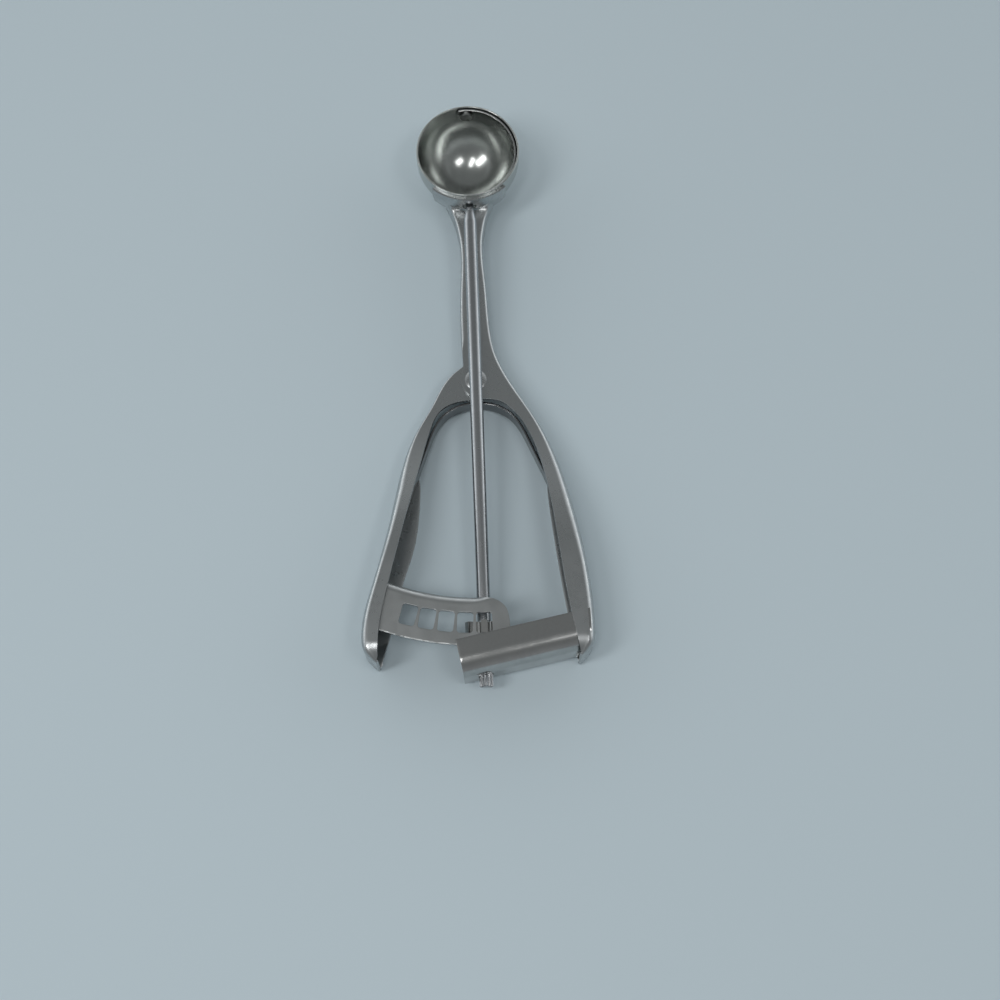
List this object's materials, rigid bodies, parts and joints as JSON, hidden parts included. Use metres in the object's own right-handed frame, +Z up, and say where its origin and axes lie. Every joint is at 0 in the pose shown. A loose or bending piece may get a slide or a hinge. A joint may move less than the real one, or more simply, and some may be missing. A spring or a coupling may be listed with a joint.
{
  "type": "lever ice cream scoop",
  "caption": "Squeeze-handle scoop: closing the sprung handles drives a slotted rack, which turns a rod and sweeps a thin wiper blade round the inside of a small round bowl.",
  "frame": {"origin": "middle of the scoop's outline seen from above, on the surface that it lies on", "axes": "+Y along the rod towards the bowl, +Z up out of the bowl's mouth, +X towards the fixed handle"},
  "size_m": [0.0672, 0.1857, 0.0202],
  "materials": {
    "pressed_steel": "bright rolled stainless sheet, softly polished",
    "bowl_steel": "satin spun stainless",
    "bracket_steel": "mill finish stainless",
    "rod_steel": "ground stainless bar",
    "gear_steel": "bright machined steel",
    "blade_steel": "thin satin stainless strip",
    "spring_steel": "dark bright-rolled spring strip"
  },
  "bodies": {
    "frame": {"handle_frame": "pressed_steel", "bowl": "bowl_steel", "gear_cover": "bracket_steel", "pivot_rivet": "rod_steel", "pivot_washer": "gear_steel", "wiper_pin": "rod_steel", "return_spring": "spring_steel"},
    "lever": {"squeeze_lever": "pressed_steel", "rack_plate": "bracket_steel"},
    "shaft": {"drive_rod": "rod_steel", "pinion_gear": "gear_steel", "wiper_blade": "blade_steel"}
  },
  "joints": [
    {"name": "squeeze", "type": "hinge", "parent": "frame", "child": "lever", "pos_m": [0.0018, 0.0023, 0.0076], "axis": [0, 0, 1], "range_deg": [0, 12.1], "stiffness_Nm_per_rad": 2.5, "springref_deg": -5.73, "deforming": ["return_spring"]},
    {"name": "wiper_turn", "type": "hinge", "parent": "frame", "child": "shaft", "pos_m": [0.0018, 0.0758, 0.0162], "axis": [0, 0.9984, 0.0573], "range_deg": [0, 179.5]}
  ],
  "couplings": [
    {"joint": "wiper_turn", "follows": "squeeze", "ratio": 14.79}
  ]
}
